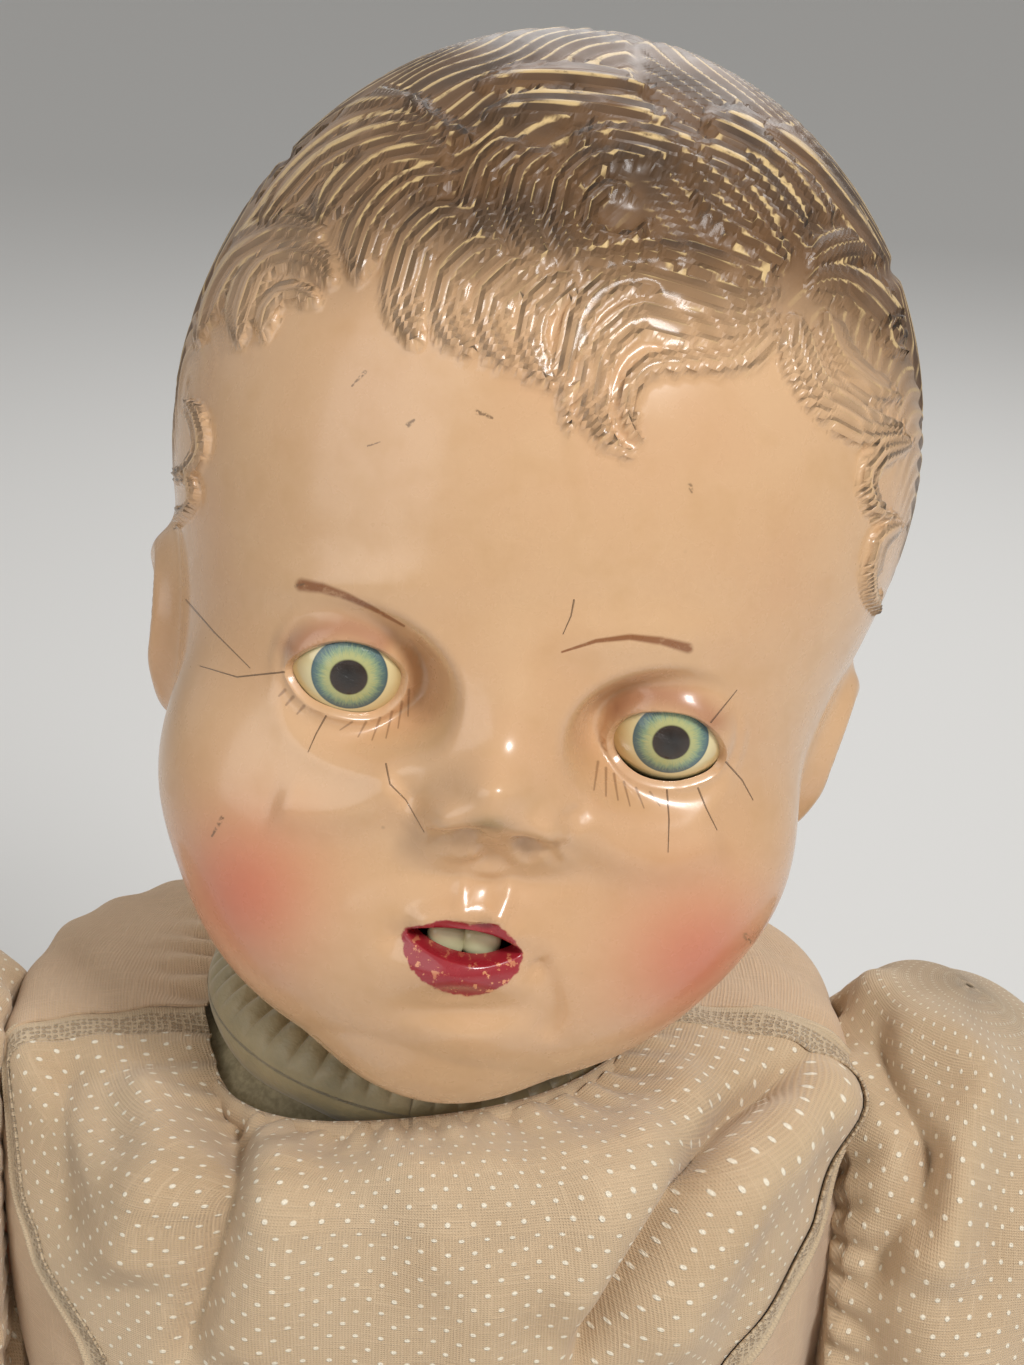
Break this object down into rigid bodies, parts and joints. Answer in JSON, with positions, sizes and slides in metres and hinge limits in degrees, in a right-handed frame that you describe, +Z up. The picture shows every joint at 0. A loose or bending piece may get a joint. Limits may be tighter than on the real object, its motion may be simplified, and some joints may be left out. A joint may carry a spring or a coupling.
{
  "type": "composition baby doll",
  "caption": "Seated cloth-bodied baby doll with a turning composition head, sleep eyes, jointed arms, swing legs, a tilt-worked voice box and a dress.",
  "frame": {"origin": "middle of the seat, on the floor under the torso", "axes": "+Z up, -Y to the doll's front, +X to the doll's left"},
  "size_m": [0.264, 0.317, 0.3876],
  "materials": {
    "composition_skin": "varnished painted composition",
    "composition_limb": "varnished painted composition",
    "eye_tin": "painted tin",
    "steel_wire": "dull wire",
    "lead": "dull lead",
    "plaster": "matt plaster",
    "teeth": "yellowed celluloid",
    "red_felt": "felt",
    "neck_cloth": "sateen",
    "white_cord": "cotton thread",
    "body_cloth": "sateen",
    "cotton_filling": "cotton",
    "card": "card",
    "bellows_cloth": "thin kid",
    "fibre": "pressed fibre",
    "dotted_cotton": "dotted cotton",
    "plain_cotton": "plain cotton",
    "lace": "openwork",
    "shell_button": "button"
  },
  "bodies": {
    "torso": {"torso_front_cloth": "body_cloth", "torso_back_cloth": "body_cloth", "torso_stuffing": "cotton_filling", "neck_casing": "neck_cloth", "neck_tie_cord": "white_cord", "left_shoulder_disc": "fibre", "right_shoulder_disc": "fibre", "crier_case": "card", "crier_bottom_cap": "card", "crier_top_cap": "card", "crier_reed_plate": "card", "crier_bellows": "bellows_cloth", "dress_front_panel": "dotted_cotton", "left_lace_insertion": "lace", "right_lace_insertion": "lace", "dress_back_panel": "plain_cotton", "dress_neckband": "plain_cotton", "dress_waistband": "plain_cotton", "back_buttons": "shell_button", "dress_skirt": "dotted_cotton"},
    "voice_weight": {"crier_weight": "lead"},
    "head": {"face_shell": "composition_skin", "back_of_head_shell": "composition_skin", "left_eye_plaster": "plaster", "right_eye_plaster": "plaster", "upper_teeth": "teeth", "felt_tongue": "red_felt"},
    "sleep_eyes": {"left_eye": "eye_tin", "right_eye": "eye_tin", "eye_axle": "steel_wire", "eye_pendulum_arm": "steel_wire", "eye_lead_weight": "lead"},
    "left_arm_body": {"left_arm": "composition_limb", "left_shoulder_pin": "steel_wire", "left_shoulder_washer": "steel_wire", "left_sleeve": "dotted_cotton", "left_sleeve_band": "plain_cotton"},
    "left_leg_body": {"left_thigh_cloth": "body_cloth", "left_leg": "composition_limb", "left_leg_tie_cord": "white_cord"},
    "right_arm_body": {"right_arm": "composition_limb", "right_shoulder_pin": "steel_wire", "right_shoulder_washer": "steel_wire", "right_sleeve": "dotted_cotton", "right_sleeve_band": "plain_cotton"},
    "right_leg_body": {"right_thigh_cloth": "body_cloth", "right_leg": "composition_limb", "right_leg_tie_cord": "white_cord"}
  },
  "joints": [
    {"name": "neck_turn", "type": "hinge", "parent": "torso", "child": "head", "pos_m": [0, 0, 0.222], "axis": [0.1822, 0, 0.9833], "range_deg": [-35, 35]},
    {"name": "eye_sleep", "type": "hinge", "parent": "head", "child": "sleep_eyes", "pos_m": [0.01412, -0.0389, 0.2982], "axis": [0.9833, 0, -0.1822], "range_deg": [0, 70]},
    {"name": "voice_weight_slide", "type": "slide", "parent": "torso", "child": "voice_weight", "axis": [0, 0, 1], "range_m": [0, 0.012], "deforming": ["crier_bellows"]},
    {"name": "left_shoulder", "type": "hinge", "parent": "torso", "child": "left_arm_body", "pos_m": [0.064, 0, 0.176], "axis": [1, 0, 0], "range_deg": [-150, 45]},
    {"name": "left_hip", "type": "hinge", "parent": "torso", "child": "left_leg_body", "pos_m": [0.033, -0.032, 0.03], "axis": [1, 0, 0], "range_deg": [0, 90]},
    {"name": "right_shoulder", "type": "hinge", "parent": "torso", "child": "right_arm_body", "pos_m": [-0.064, 0, 0.176], "axis": [1, 0, 0], "range_deg": [-150, 45]},
    {"name": "right_hip", "type": "hinge", "parent": "torso", "child": "right_leg_body", "pos_m": [-0.033, -0.032, 0.03], "axis": [1, 0, 0], "range_deg": [0, 90]}
  ]
}
